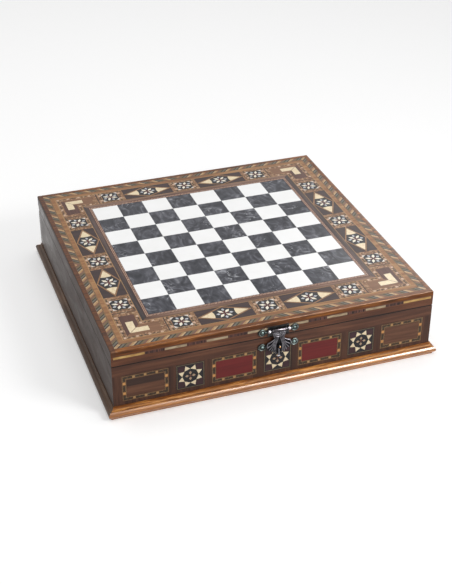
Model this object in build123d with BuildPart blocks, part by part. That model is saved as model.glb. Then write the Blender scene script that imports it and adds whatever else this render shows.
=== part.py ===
from build123d import *
import math
import os

# Chess box: a shallow square case with a moulded foot, and a hinged lid whose top is an
# inlaid chessboard.  Origin in the middle of the underside, X to the right, Y to the back
# (the latch is on the -Y face), Z up, millimetres.

os.makedirs("parts", exist_ok=True)

# ---------------------------------------------------------------- lid top, board outward
squares = 8  # squares along one side of the board
square = 25.0
board_line = 3.2  # thin striped line round the board
surround = 4.8  # dark strip round the line
tile_band = 22.0  # band of patterned tiles
plain_border = 5.4
rope_band = 5.2
lipping = 4.4  # solid edge strip that frames the lid top
lipping_arris = 1.2  # rounding of its outer top edge
medallion = 24.0  # length of a medallion tile along the band
corner_arm = 39.0  # outside length of an L-shaped corner tile
spacer = 2.0  # strip between two tiles
rosette = 16.0  # a square with its corners cut off
rosette_cut = 3.2
rhomb_margin = 1.0  # from a diamond tile's edge to its rhomb
rhomb_middle = 20.0  # length of the dark part between the rhomb's light tips
chevron_arm = 17.0  # cream mitred L in a corner tile
chevron_width = 6.6
chevron_inset = 7.7
glue_line = 0.05  # each inlaid piece is this much smaller all round
overcut = 1.0  # how far a cutting shape reaches past what it cuts

# ---------------------------------------------------------------- heights
bottom_thickness = 5.0
wall_height = 45.1
rail_height = 10.5  # lid rail, under the core
core_thickness = 3.0
tile_thickness = 0.9
lipping_proud = 0.1  # lipping above the inlay
wall_thickness = 10.0
arris = 0.5  # small chamfers that draw the seam

# ---------------------------------------------------------------- foot moulding
moulding_height = 10.6
moulding_projection = 5.5
cove_radius = 2.5
moulding_ledge = 0.7  # flats above and below the cove
nose_foot = 1.4  # plain strip under the nose

# ---------------------------------------------------------------- front marquetry
veneer = 0.8
star_tile = 24.8  # side of a star tile, and the height of the panel row
panel_length = 40.0
panel_end = 8.0  # from the corner to the first panel
panel_frame = 3.6  # width of a dashed frame
panel_drop = 11.1  # from the rim to the panels
star_tip = 11.2  # radius of the eight points
star_root = 7.2  # radius where two points meet
kite_reach = 4.6  # small kites round the middle of a star
kite_width = 2.7
kite_root = 1.3

# ---------------------------------------------------------------- inlaid strip, lid front
strip_height = 2.6
strip_drop = 5.0  # from the lid top to the strip
strip_end = 2.0
end_bar = 26.4
inner_bar = 18.7
inner_bars = 6

# ---------------------------------------------------------------- inside
lining = 0.8
floor_lining_thickness = 1.0
lining_drop = 2.0  # from the rim to the wall lining
divider_thickness = 6.0
divider_height = 38.0
divider_round = 1.5
lining_fit = 0.2

# ---------------------------------------------------------------- hinges
hinge_spread = 190.0  # between the middles of the two hinges
hinge_length = 30.0
leaf_width = 6.5
leaf_thickness = 1.0
barrel_radius = 2.0
hinge_pin_radius = 0.9
pin_play = 0.05
knuckles = 3
knuckle_gap = 0.15
barrel_clearance = 0.3
hinge_inset = 3.0  # pin axis to the back face
stop_bevel = 51.0  # degrees off level, each back arris; two of these stop the lid
screw_radius = 0.8
screw_head_radius = 1.6
screw_length = 6.0
screw_edge = 2.2  # screw to the edge of the leaf
screw_inset = 5.0  # screw to the end of the leaf
fastener_sides = 8  # screws, nails and their holes are drawn with flats

# ---------------------------------------------------------------- latch
plate_thickness = 0.8
plate_length = 37.0
plate_height = 6.8  # over its leaves
plate_body = 19.0  # plain middle of a plate, between its leaves
lid_plate_body_height = 9.2
plate_neck = 3.0
lid_plate_drop = 8.9  # from the lid top to the middle of the lid plate
latch_pin_drop = 7.4  # from the lid top to the pin
latch_pin_standoff = 3.0  # from the lid face to the pin
latch_pin_radius = 0.6
latch_barrel_radius = 1.3
latch_ball_radius = 1.5
hasp_width = 12.6  # at the barrel
hasp_thickness = 1.0
hasp_setback = 0.5  # front face of the hasp behind the pin axis
hasp_waist = 8.4
waist_drop = 8.2  # pin to waist
neck_hollow = 0.2  # how far the outline dips in over the waist
hasp_span = 22.6  # over both wings
wing_hollow = 0.8  # how far it dips in under the waist
shoulder_drop = 11.8  # pin to the top of the wings
wing_drop = 18.2  # pin to the outer end of the scalloped edge
wing_round = 1.2  # how far a wing's end bulges
hasp_length = 24.2  # pin to the tip of the tongue
tongue_width = 3.6
tongue_round = 0.4  # how far each side of its tip bulges
scallops = 3  # on each side of the tongue
scallop_depth = 0.8
flutes = 4  # raised ribs on each wing
flute_width = 0.8
flute_height = 0.5
flute_margin = 0.9
flute_sway = 1.6  # how far the outer ribs bow
ear_width = 1.0
ear_gap = 0.15
catch_drop = 16.2  # pin to catch bead
keyhole_width = 4.0
keyhole_length = 6.0
bead_radius = 1.35
bead_bands = 5  # flats round half a turned bead
stud_radius = 1.0
stud_reach = 3.2
nail_radius = 0.45
nail_head_radius = 1.0
nail_head_height = 0.6
nail_length = 5.0
nail_spread = 29.0
hole_play = 0.02

# ---------------------------------------------------------------- worked-out places
board_half = squares * square / 2
line_half = board_half + board_line
surround_half = line_half + surround
tile_half = surround_half + tile_band
border_half = tile_half + plain_border
rope_half = border_half + rope_band
case_half = rope_half + lipping
inner_half = case_half - wall_thickness
rim = bottom_thickness + wall_height
core_bottom = rim + rail_height
core_top = core_bottom + core_thickness
tile_top = core_top + tile_thickness
lid_top = tile_top + lipping_proud
hinge_out = case_half - hinge_inset
hinge_middles = [-hinge_spread / 2, hinge_spread / 2]
nail_offsets = [-nail_spread / 2, nail_spread / 2]
sides = {side: 90 * step for step, side in enumerate(("front", "right", "back", "left"))}
row_middle = rim - panel_drop - star_tile / 2
panel_gap = (case_half - panel_end - 2 * panel_length - 1.5 * star_tile) / 3
panel_pitch = (panel_length + star_tile) / 2 + panel_gap
star_places = [(x, row_middle) for x in (-2 * panel_pitch, 0, 2 * panel_pitch)]
red_places = [(x, row_middle) for x in (-panel_pitch, panel_pitch)]
brown_places = [(x, row_middle) for x in (-3 * panel_pitch, 3 * panel_pitch)]
band_middle = (surround_half + tile_half) / 2
diamond = tile_half - corner_arm - 1.5 * medallion - 3 * spacer
diamond_pitch = (medallion + diamond) / 2 + spacer
pin_height = lid_top - latch_pin_drop
pin_out = case_half + latch_pin_standoff
catch_height = pin_height - catch_drop
lid_plate_height = lid_top - lid_plate_drop
hasp_back = pin_out - hasp_setback - hasp_thickness
knuckle = (hinge_length - (knuckles - 1) * knuckle_gap) / knuckles


# ---------------------------------------------------------------- shared shapes
def outward(turn):
    return Vector(0, -1, 0).rotate(Axis.Z, turn)


def along(turn):
    return Vector(1, 0, 0).rotate(Axis.Z, turn)


def section_plane(turn):
    """Upright plane across one side: x is the distance from the middle, y the height."""
    return Plane(origin=(0, 0, 0), x_dir=outward(turn), z_dir=-along(turn))


def front_plane(distance):
    """Upright plane in front of the middle: x to the right, y up, facing the front."""
    return Plane(origin=(0, -distance, 0), x_dir=(1, 0, 0), z_dir=(0, -1, 0))


def write(builder, name):
    builder.part.label = name
    export_step(builder.part, f"parts/{name}.step")


def running_fit(pin_radius):
    """Radius of a bore whose flats clear the corners of the pin that turns in it."""
    return (pin_radius + pin_play) / math.cos(math.pi / fastener_sides)


def mitre(turn):
    """Cut the part back to its own quarter, between the two diagonals."""
    for lean in (-1, 1):
        cut = Plane(origin=(0, 0, 0), z_dir=outward(turn) + along(turn) * lean)
        split(bisect_by=cut, keep=Keep.TOP)


def bar(turn, inner, outer, bottom, top, eased_end=0):
    """A mitred length along one side; eased_end -1 or 1 chamfers its outer bottom or top arris."""
    with BuildSketch(section_plane(turn)) as section:
        with Locations(((inner + outer) / 2, (bottom + top) / 2)):
            Rectangle(outer - inner, top - bottom)
        if eased_end:
            outer_corners = section.vertices().group_by(Axis.X)[-1].sort_by(Axis.Y)
            chamfer(outer_corners[-1 if eased_end > 0 else 0], arris)
    extrude(section.sketch, amount=outer, both=True)
    mitre(turn)


def ring_strips(inner, outer, bottom, top):
    """Four flat mitred strips round the middle, a glue line apart."""
    a = inner + glue_line
    b = outer - glue_line
    gap = 2 * glue_line
    with BuildSketch(Plane.XY.offset(bottom)) as strips:
        for turn in sides.values():
            with BuildLine(Plane.XY.rotated((0, 0, turn))):
                Polyline((gap - a, -a), (a - gap, -a), (b - gap, -b), (gap - b, -b), close=True)
            make_face()
    extrude(strips.sketch, amount=top - bottom)


def cut_back_arris(up):
    """Bevel the back arris away from the hinge axis; up is -1 for the case, 1 for the lid."""
    beyond = case_half + overcut
    rise = (beyond - hinge_out) * math.tan(math.radians(stop_bevel))
    with BuildSketch(section_plane(sides["back"])) as wedge:
        with BuildLine():
            Polyline((hinge_out, rim), (beyond, rim), (beyond, rim + up * rise), close=True)
        make_face()
    extrude(wedge.sketch, amount=beyond, both=True, mode=Mode.SUBTRACT)


def hinge_screws(up, grow, mode=Mode.ADD):
    """Countersunk screws, driven out of the hinge plane; with some grow, the holes for them."""
    y = hinge_out - leaf_width + screw_edge
    reach = hinge_length / 2 - screw_inset
    planes = [
        Plane(origin=(middle + offset, y, rim), z_dir=(0, 0, -up))
        for middle in hinge_middles
        for offset in (-reach, reach)
    ]
    with BuildSketch(*planes) as shanks:
        RegularPolygon(screw_radius + grow, fastener_sides)
    extrude(shanks.sketch, amount=-(screw_length + grow), mode=mode)
    for plane in planes:
        with BuildSketch(plane) as head:
            RegularPolygon(screw_head_radius + grow, fastener_sides)
        extrude(head.sketch, amount=screw_radius - screw_head_radius, taper=45, mode=mode)


def nail_shanks(height, grow, mode=Mode.ADD):
    """Shanks of the two nails through a latch plate; with some grow, the holes for them."""
    face = front_plane(case_half + plate_thickness)
    with BuildSketch(face) as shanks:
        with Locations(*[(x, height) for x in nail_offsets]):
            RegularPolygon(nail_radius + grow, fastener_sides)
    extrude(shanks.sketch, amount=-(nail_length + grow), mode=mode)


def cut_hinge_beds(up):
    """Beds for the leaves and barrels, and pilot holes for their screws."""
    for middle in hinge_middles:
        with BuildSketch(section_plane(sides["back"]).offset(middle)) as bed:
            with Locations((hinge_out - leaf_width / 2, rim + up * leaf_thickness / 2)):
                Rectangle(leaf_width, leaf_thickness)
            with Locations((hinge_out, rim)):
                Circle(barrel_radius + barrel_clearance)
        extrude(bed.sketch, amount=hinge_length / 2 + knuckle_gap, both=True, mode=Mode.SUBTRACT)
    hinge_screws(up, hole_play, Mode.SUBTRACT)


# ---------------------------------------------------------------- case
with BuildPart() as bottom_panel:
    with BuildSketch():
        Rectangle(2 * case_half, 2 * case_half)
    extrude(amount=bottom_thickness)
write(bottom_panel, "bottom_panel")

for side, turn in sides.items():
    front = side == "front"
    with BuildPart() as wall:
        face = case_half - veneer if front else case_half
        bar(turn, inner_half, face, bottom_thickness, rim, 0 if front else 1)
        if not front:
            cut_back_arris(-1)
        if side == "back":
            cut_hinge_beds(-1)
        if front:
            nail_shanks(catch_height, hole_play, Mode.SUBTRACT)
    write(wall, f"{side}_wall")

cove_top = moulding_height - moulding_ledge
nose_out = moulding_ledge + cove_radius
nose_top = cove_top - cove_radius
quarter = cove_radius * math.sqrt(0.5)

for side, turn in sides.items():
    with BuildPart() as moulding:
        with BuildSketch(section_plane(turn).shift_origin(outward(turn) * case_half)):
            with BuildLine():
                Polyline((0, 0), (0, moulding_height), (moulding_ledge, moulding_height))
                Line((moulding_ledge, moulding_height), (moulding_ledge, cove_top))
                ThreePointArc(
                    (moulding_ledge, cove_top),
                    (nose_out - quarter, cove_top - quarter),
                    (nose_out, nose_top),
                )
                ThreePointArc(
                    (nose_out, nose_top),
                    (moulding_projection, (nose_top + nose_foot) / 2),
                    (nose_out, nose_foot),
                )
                Polyline((nose_out, nose_foot), (nose_out, 0), (0, 0))
            make_face()
        extrude(amount=case_half + moulding_projection, both=True)
        mitre(turn)
    write(moulding, f"{side}_moulding")


# ---------------------------------------------------------------- marquetry of the front wall
def star_corner(step):
    """Corner of an eight-pointed star: even steps are roots on the axes, odd ones are tips."""
    radius = star_tip if step % 2 else star_root
    turn = math.radians(22.5 * step)
    return (radius * math.cos(turn), radius * math.sin(turn))


def kites(shrink, mode):
    """Four small pieces that point away from the middle of a star."""
    middle = (kite_root + kite_reach) / 2
    with PolarLocations(0, 4):
        Polygon(
            (kite_root + shrink, 0),
            (middle, kite_width / 2 - shrink),
            (kite_reach - shrink, 0),
            (middle, shrink - kite_width / 2),
            align=None,
            mode=mode,
        )


with BuildPart() as front_veneer:
    with BuildSketch(front_plane(case_half - veneer)):
        with Locations((0, (bottom_thickness + rim) / 2)):
            Rectangle(2 * case_half, wall_height)
        with Locations(*star_places):
            Rectangle(star_tile, star_tile, mode=Mode.SUBTRACT)
        with Locations(*red_places, *brown_places):
            Rectangle(panel_length, star_tile, mode=Mode.SUBTRACT)
    extrude(amount=veneer)
    top_arris = front_veneer.edges().filter_by(Axis.X).group_by(Axis.Z)[-1].sort_by(Axis.Y)[0]
    chamfer(top_arris, arris)
    mitre(sides["front"])
    nail_shanks(catch_height, hole_play, Mode.SUBTRACT)
write(front_veneer, "front_veneer")

with BuildPart() as panel_frames:
    with BuildSketch(front_plane(case_half - veneer)):
        with Locations(*red_places, *brown_places):
            Rectangle(panel_length - 2 * glue_line, star_tile - 2 * glue_line)
            field = (panel_length - 2 * panel_frame, star_tile - 2 * panel_frame)
            Rectangle(*field, mode=Mode.SUBTRACT)
    extrude(amount=veneer)
write(panel_frames, "panel_frames")

for colour, places in (("red", red_places), ("brown", brown_places)):
    with BuildPart() as fields:
        with BuildSketch(front_plane(case_half - veneer)):
            with Locations(*places):
                Rectangle(field[0] - 2 * glue_line, field[1] - 2 * glue_line)
        extrude(amount=veneer)
    write(fields, f"{colour}_fields")

with BuildPart() as star_grounds:
    with BuildSketch(front_plane(case_half - veneer)):
        with Locations(*star_places):
            Rectangle(star_tile - 2 * glue_line, star_tile - 2 * glue_line)
            Polygon(*[star_corner(step) for step in range(16)], align=None, mode=Mode.SUBTRACT)
    extrude(amount=veneer)
write(star_grounds, "star_grounds")

with BuildPart() as star_points:
    with BuildSketch(front_plane(case_half - veneer)) as points_sketch:
        with Locations(*star_places):
            for step in range(1, 16, 2):
                corners = [star_corner(step + turn) for turn in (-1, 0, 1)]
                with BuildSketch(mode=Mode.PRIVATE) as point:
                    Polygon(*corners, align=None)
                    offset(amount=-glue_line, kind=Kind.INTERSECTION, mode=Mode.REPLACE)
                add(point.sketch)
    extrude(amount=veneer)
write(star_points, "star_points")

with BuildPart() as star_middles:
    with BuildSketch(front_plane(case_half - veneer)):
        with Locations(*star_places):
            RegularPolygon(star_root - glue_line, side_count=8)
            kites(0, Mode.SUBTRACT)
    extrude(amount=veneer)
write(star_middles, "star_middles")

with BuildPart() as star_kites:
    with BuildSketch(front_plane(case_half - veneer)):
        with Locations(*star_places):
            kites(glue_line, Mode.ADD)
    extrude(amount=veneer)
write(star_kites, "star_kites")


# ---------------------------------------------------------------- inside of the case
room = inner_half - (lining + lining_fit)
half_room = room - divider_thickness / 2
floor_top = bottom_thickness + floor_lining_thickness

with BuildPart() as divider:
    with BuildSketch(Plane.XZ) as divider_section:
        with Locations((0, bottom_thickness + divider_height / 2)):
            Rectangle(divider_thickness, divider_height)
        fillet(divider_section.vertices().group_by(Axis.Y)[-1], divider_round)
    extrude(amount=inner_half, both=True)
write(divider, "divider")

with BuildPart() as floor_lining:
    with BuildSketch(Plane.XY.offset(bottom_thickness)):
        with Locations(*[(x * (divider_thickness / 2 + half_room / 2), 0) for x in (-1, 1)]):
            Rectangle(half_room, 2 * room)
    extrude(amount=floor_lining_thickness)
write(floor_lining, "floor_lining")

with BuildPart() as wall_lining:
    with BuildSketch(Plane.XY.offset(floor_top)):
        for x in (-1, 1):
            with Locations((x * (inner_half - lining / 2), 0)):
                Rectangle(lining, 2 * inner_half)
            for y in (-1, 1):
                with Locations((x * (room + divider_thickness / 2) / 2, y * (inner_half - lining / 2))):
                    Rectangle(half_room, lining)
    extrude(amount=rim - lining_drop - floor_top)
write(wall_lining, "wall_lining")


# ---------------------------------------------------------------- hinges
def knuckle_planes(first):
    """Middles of the outer knuckles (first 0) or of the inner ones (first 1)."""
    across = section_plane(sides["back"])
    return [
        across.offset(middle - hinge_length / 2 + knuckle / 2 + step * (knuckle + knuckle_gap))
        for middle in hinge_middles
        for step in range(first, knuckles, 2)
    ]


def hinge_bars(planes, radius, length, mode=Mode.ADD, flats=0):
    """Bars about the hinge axis, each across its plane: round, or with some flats."""
    with BuildSketch(*planes) as ends:
        with Locations((hinge_out, rim)):
            if flats:
                RegularPolygon(radius, flats)
            else:
                Circle(radius)
    extrude(ends.sketch, amount=length / 2, both=True, mode=mode)


def hinge_leaves(up, first, bore):
    """One leaf of each hinge with its own knuckles, drilled for the pin and the screws."""
    middles = [section_plane(sides["back"]).offset(middle) for middle in hinge_middles]
    with BuildSketch(*middles) as leaves:
        with Locations((hinge_out - leaf_width / 2, rim + up * leaf_thickness / 2)):
            Rectangle(leaf_width, leaf_thickness)
    extrude(leaves.sketch, amount=hinge_length / 2, both=True)
    notch = barrel_radius + knuckle_gap
    with BuildSketch(*knuckle_planes(1 - first)) as notches:
        with Locations((hinge_out - notch / 2, rim)):
            Rectangle(notch, 2 * notch)
    extrude(notches.sketch, amount=knuckle / 2 + knuckle_gap, both=True, mode=Mode.SUBTRACT)
    hinge_bars(knuckle_planes(first), barrel_radius, knuckle)
    hinge_bars(middles, bore, hinge_length + overcut, Mode.SUBTRACT, fastener_sides)
    hinge_screws(up, hole_play, Mode.SUBTRACT)


for owner, up, first, bore in (
    ("case", -1, 0, hinge_pin_radius),
    ("lid", 1, 1, running_fit(hinge_pin_radius)),
):
    with BuildPart() as leaves:
        hinge_leaves(up, first, bore)
    write(leaves, f"hinge_{owner}_leaves")
    with BuildPart() as screws:
        hinge_screws(up, 0)
    write(screws, f"hinge_{owner}_screws")

with BuildPart() as hinge_pins:
    middles = [section_plane(sides["back"]).offset(middle) for middle in hinge_middles]
    hinge_bars(middles, hinge_pin_radius, hinge_length, Mode.ADD, fastener_sides)
write(hinge_pins, "hinge_pins")

# ---------------------------------------------------------------- lid frame
for side, turn in sides.items():
    with BuildPart() as rail:
        bar(turn, inner_half, case_half, rim, core_bottom, 0 if side == "back" else -1)
        if side != "front":
            cut_back_arris(1)
        if side == "back":
            cut_hinge_beds(1)
        if side == "front":
            with BuildSketch(front_plane(case_half)) as groove:
                with Locations((0, lid_top - strip_drop - strip_height / 2)):
                    Rectangle(2 * (case_half - strip_end), strip_height)
            extrude(groove.sketch, amount=-veneer, mode=Mode.SUBTRACT)
            nail_shanks(lid_plate_height, hole_play, Mode.SUBTRACT)
    write(rail, f"lid_{side}_rail")

with BuildPart() as lid_core:
    with BuildSketch(Plane.XY.offset(core_bottom)):
        Rectangle(2 * rope_half, 2 * rope_half)
    extrude(amount=core_thickness)
write(lid_core, "lid_core")

with BuildPart() as lid_lining:
    with BuildSketch(Plane.XY.offset(core_bottom - lining)):
        Rectangle(2 * (inner_half - lining_fit), 2 * (inner_half - lining_fit))
    extrude(amount=lining)
write(lid_lining, "lid_lining")

with BuildPart() as lid_lipping:
    ring_strips(rope_half - glue_line, case_half + glue_line, core_bottom, lid_top)
    outer_arrises = lid_lipping.edges().group_by(Axis.Z)[-1].group_by(SortBy.LENGTH)[-1]
    fillet(outer_arrises, lipping_arris)
write(lid_lipping, "lid_lipping")

# ---------------------------------------------------------------- inlaid strip, lid front
strip_length = 2 * (case_half - strip_end)
dark_bar = (strip_length - 2 * end_bar - inner_bars * inner_bar) / (inner_bars + 1)
strip_middle = lid_top - strip_drop - strip_height / 2
bar_lengths = [end_bar, dark_bar] + inner_bars * [inner_bar, dark_bar] + [end_bar]
bar_starts = [sum(bar_lengths[:step]) - strip_length / 2 for step in range(len(bar_lengths))]

for shade, first in (("light", 0), ("dark", 1)):
    with BuildPart() as bars:
        with BuildSketch(front_plane(case_half - veneer)):
            for start, length in list(zip(bar_starts, bar_lengths))[first::2]:
                with Locations((start + length / 2, strip_middle)):
                    Rectangle(length - 2 * glue_line, strip_height - 2 * glue_line)
        extrude(amount=veneer)
    write(bars, f"{shade}_strip_bars")

# ---------------------------------------------------------------- chessboard
for shade, parity in (("dark", 0), ("light", 1)):
    places = [
        ((column + 0.5) * square - board_half, (row + 0.5) * square - board_half)
        for row in range(squares)
        for column in range(squares)
        if (row + column) % 2 == parity
    ]
    with BuildPart() as shade_squares:
        with BuildSketch(Plane.XY.offset(core_top)):
            with Locations(*places):
                Rectangle(square - 2 * glue_line, square - 2 * glue_line)
        extrude(amount=tile_thickness)
    write(shade_squares, f"{shade}_squares")

for name, inner, outer in (
    ("board_line", board_half, line_half),
    ("board_surround", line_half, surround_half),
    ("plain_border", tile_half, border_half),
    ("rope_banding", border_half, rope_half),
):
    with BuildPart() as strips:
        ring_strips(inner, outer, core_top, tile_top)
    write(strips, name)

# ---------------------------------------------------------------- band of tiles round the board
medallion_places = [(x, -band_middle) for x in (-2 * diamond_pitch, 0, 2 * diamond_pitch)]
diamond_places = [(x, -band_middle) for x in (-diamond_pitch, diamond_pitch)]
spacer_steps = [medallion / 2 + spacer / 2, medallion / 2 + diamond + 1.5 * spacer]
spacer_steps.append(tile_half - corner_arm - spacer / 2)
spacer_places = [(sign * step, -band_middle) for step in spacer_steps for sign in (-1, 1)]
rhomb_length = diamond / 2 - rhomb_margin
rhomb_height = tile_band / 2 - rhomb_margin
rhomb_cut = rhomb_middle / 2
cut_height = rhomb_height * (1 - rhomb_cut / rhomb_length)


def rosette_ground(shrink, mode=Mode.ADD):
    """Square with its corners cut off."""
    flat = rosette / 2 - rosette_cut
    corner = [(rosette / 2 - shrink, flat), (flat, rosette / 2 - shrink)]
    turned = [Vector(*point).rotate(Axis.Z, turn) for turn in sides.values() for point in corner]
    Polygon(*[(point.X, point.Y) for point in turned], align=None, mode=mode)


with BuildPart() as medallion_grounds:
    with BuildSketch(Plane.XY.offset(core_top)):
        with PolarLocations(0, 4), Locations(*medallion_places):
            Rectangle(medallion - 2 * glue_line, tile_band - 2 * glue_line)
            rosette_ground(0, Mode.SUBTRACT)
    extrude(amount=tile_thickness)
write(medallion_grounds, "medallion_grounds")

with BuildPart() as medallion_rosettes:
    with BuildSketch(Plane.XY.offset(core_top)):
        with PolarLocations(0, 4), Locations(*medallion_places):
            rosette_ground(glue_line)
    extrude(amount=tile_thickness)
write(medallion_rosettes, "medallion_rosettes")

with BuildPart() as diamond_grounds:
    with BuildSketch(Plane.XY.offset(core_top)):
        with PolarLocations(0, 4), Locations(*diamond_places):
            Rectangle(diamond - 2 * glue_line, tile_band - 2 * glue_line)
            Polygon(
                (-rhomb_length, 0),
                (0, -rhomb_height),
                (rhomb_length, 0),
                (0, rhomb_height),
                align=None,
                mode=Mode.SUBTRACT,
            )
    extrude(amount=tile_thickness)
write(diamond_grounds, "diamond_grounds")

with BuildPart() as rhomb_tips:
    with BuildSketch(Plane.XY.offset(core_top)):
        with PolarLocations(0, 4), Locations(*diamond_places):
            for sign in (-1, 1):
                Polygon(
                    (sign * (rhomb_length - 2 * glue_line), 0),
                    (sign * (rhomb_cut + glue_line), cut_height - 2 * glue_line),
                    (sign * (rhomb_cut + glue_line), 2 * glue_line - cut_height),
                    align=None,
                )
    extrude(amount=tile_thickness)
write(rhomb_tips, "rhomb_tips")

with BuildPart() as rhomb_middles:
    with BuildSketch(Plane.XY.offset(core_top)):
        with PolarLocations(0, 4), Locations(*diamond_places):
            Polygon(
                (-rhomb_cut, cut_height - glue_line),
                (-rhomb_cut, glue_line - cut_height),
                (0, glue_line - rhomb_height),
                (rhomb_cut, glue_line - cut_height),
                (rhomb_cut, cut_height - glue_line),
                (0, rhomb_height - glue_line),
                align=None,
            )
    extrude(amount=tile_thickness)
write(rhomb_middles, "rhomb_middles")

with BuildPart() as spacer_strips:
    with BuildSketch(Plane.XY.offset(core_top)):
        with PolarLocations(0, 4), Locations(*spacer_places):
            Rectangle(spacer - 2 * glue_line, tile_band - 2 * glue_line)
    extrude(amount=tile_thickness)
write(spacer_strips, "spacer_strips")


def corner_ell(outer, arm, width, mode=Mode.ADD):
    """An L whose outer corner lies on the diagonal, at this distance from both middle lines."""
    start = outer - arm
    Polygon(
        (-outer, -outer),
        (-start, -outer),
        (-start, width - outer),
        (width - outer, width - outer),
        (width - outer, -start),
        (-outer, -start),
        align=None,
        mode=mode,
    )


chevron_outer = tile_half - chevron_inset

with BuildPart() as corner_grounds:
    with BuildSketch(Plane.XY.offset(core_top)):
        with PolarLocations(0, 4):
            corner_ell(tile_half - glue_line, corner_arm - 2 * glue_line, tile_band - 2 * glue_line)
            corner_ell(chevron_outer, chevron_arm, chevron_width, Mode.SUBTRACT)
    extrude(amount=tile_thickness)
write(corner_grounds, "corner_grounds")

with BuildPart() as corner_chevrons:
    with BuildSketch(Plane.XY.offset(core_top)):
        with PolarLocations(0, 4):
            corner_ell(chevron_outer - glue_line, chevron_arm - glue_line, chevron_width - 2 * glue_line)
            with Locations(Location((-chevron_outer, -chevron_outer), 45)):
                Rectangle(4 * chevron_width, 2 * glue_line, mode=Mode.SUBTRACT)
    extrude(amount=tile_thickness)
write(corner_chevrons, "corner_chevrons")


# ---------------------------------------------------------------- latch
def latch_plate(height, body_height):
    """Back plate with a leaf at each end, nailed through its leaves."""
    with BuildSketch(front_plane(case_half)) as outline:
        with Locations((0, height)):
            Rectangle(plate_body, body_height)
            Rectangle(nail_spread, plate_neck)
            for sign in (-1, 1):
                leaf_start = sign * (nail_spread / 2 - plate_height / 2)
                leaf_widest = sign * nail_spread / 2
                with BuildLine():
                    for lean in (-1, 1):
                        ThreePointArc(
                            (leaf_start, height),
                            (leaf_widest, height + lean * plate_height / 2),
                            (sign * plate_length / 2, height),
                        )
                make_face()
    extrude(outline.sketch, amount=plate_thickness)
    nail_shanks(height, hole_play, Mode.SUBTRACT)


def pin_bar(radius, half_length, mode=Mode.ADD):
    """Bar with flats about the latch pin, from one side of the middle to the other."""
    with BuildSketch(section_plane(sides["front"])) as end:
        with Locations((pin_out, pin_height)):
            RegularPolygon(radius, fastener_sides)
    extrude(end.sketch, amount=half_length, both=True, mode=mode)


ear_inner = hasp_width / 2 + ear_gap
ear_radius = latch_barrel_radius - ear_gap

with BuildPart() as lid_plate:
    latch_plate(lid_plate_height, lid_plate_body_height)
    for sign in (-1, 1):
        ear_plane = section_plane(sides["front"]).offset(sign * (ear_inner + ear_width / 2))
        with BuildSketch(ear_plane) as ear:
            with Locations(((case_half + plate_thickness + pin_out) / 2, pin_height)):
                Rectangle(latch_pin_standoff - plate_thickness, 2 * ear_radius)
            with Locations((pin_out, pin_height)):
                Circle(ear_radius)
        extrude(ear.sketch, amount=ear_width / 2, both=True)
    pin_bar(latch_pin_radius, ear_inner + 2 * ear_width, Mode.SUBTRACT)
write(lid_plate, "lid_plate")


def half_bead(radius, middle):
    """Outline of half a turned bead, on the x axis that it is turned about."""
    turns = [math.pi * step / bead_bands for step in range(bead_bands + 1)]
    rim_points = [(middle + radius * math.cos(turn), radius * math.sin(turn)) for turn in turns]
    Polygon(*rim_points, align=None)


with BuildPart() as latch_pin:
    ball_offset = ear_inner + ear_width + latch_ball_radius
    pin_bar(latch_pin_radius, ball_offset)
    with BuildSketch(front_plane(pin_out).shift_origin((0, -pin_out, pin_height))) as balls:
        half_bead(latch_ball_radius, ball_offset)
        half_bead(latch_ball_radius, -ball_offset)
    revolve(balls.sketch, axis=Axis((0, -pin_out, pin_height), (1, 0, 0)))
write(latch_pin, "latch_pin")

with BuildPart() as catch_plate:
    latch_plate(catch_height, plate_height)
    with BuildSketch(front_plane(case_half + plate_thickness)) as stud:
        with Locations((0, catch_height)):
            RegularPolygon(stud_radius, fastener_sides)
    extrude(stud.sketch, amount=stud_reach)
    with BuildSketch(section_plane(sides["front"]).shift_origin((0, 0, catch_height))) as nub:
        half_bead(bead_radius, case_half + plate_thickness + stud_reach)
    revolve(nub.sketch, axis=Axis((0, 0, catch_height), (0, 1, 0)))
write(catch_plate, "catch_plate")

for owner, height in (("lid", lid_plate_height), ("catch", catch_height)):
    with BuildPart() as nails:
        nail_shanks(height, 0)
        with BuildSketch(front_plane(case_half + plate_thickness)):
            with Locations(*[(x, height) for x in nail_offsets]):
                RegularPolygon(nail_head_radius, fastener_sides)
        extrude(amount=nail_head_height)
        chamfer(nails.edges().group_by(Axis.Y)[0], nail_head_height / 2)
    write(nails, f"{owner}_plate_nails")

waist = (hasp_waist / 2, -waist_drop)
neck = (hasp_width / 2, -latch_barrel_radius)
shoulder = (hasp_span / 2 - wing_round, -shoulder_drop)
wing_end = (hasp_span / 2 - wing_round, -wing_drop)
tongue_start = (tongue_width / 2, tongue_width / 2 - hasp_length)
inner_foot = (tongue_start[0] + flute_margin, tongue_start[1] + flute_margin)
outer_foot = (wing_end[0] - flute_margin, wing_end[1] + flute_margin)
hasp_face = front_plane(hasp_back).shift_origin((0, -hasp_back, pin_height))


def between(start, end, share, bulge=0):
    """Point at a share of the way from start to end, pushed to the right by bulge."""
    run = Vector(*end) - Vector(*start)
    side = Vector(run.Y, -run.X).normalized() * bulge
    return Vector(*start) + run * share + side


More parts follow.
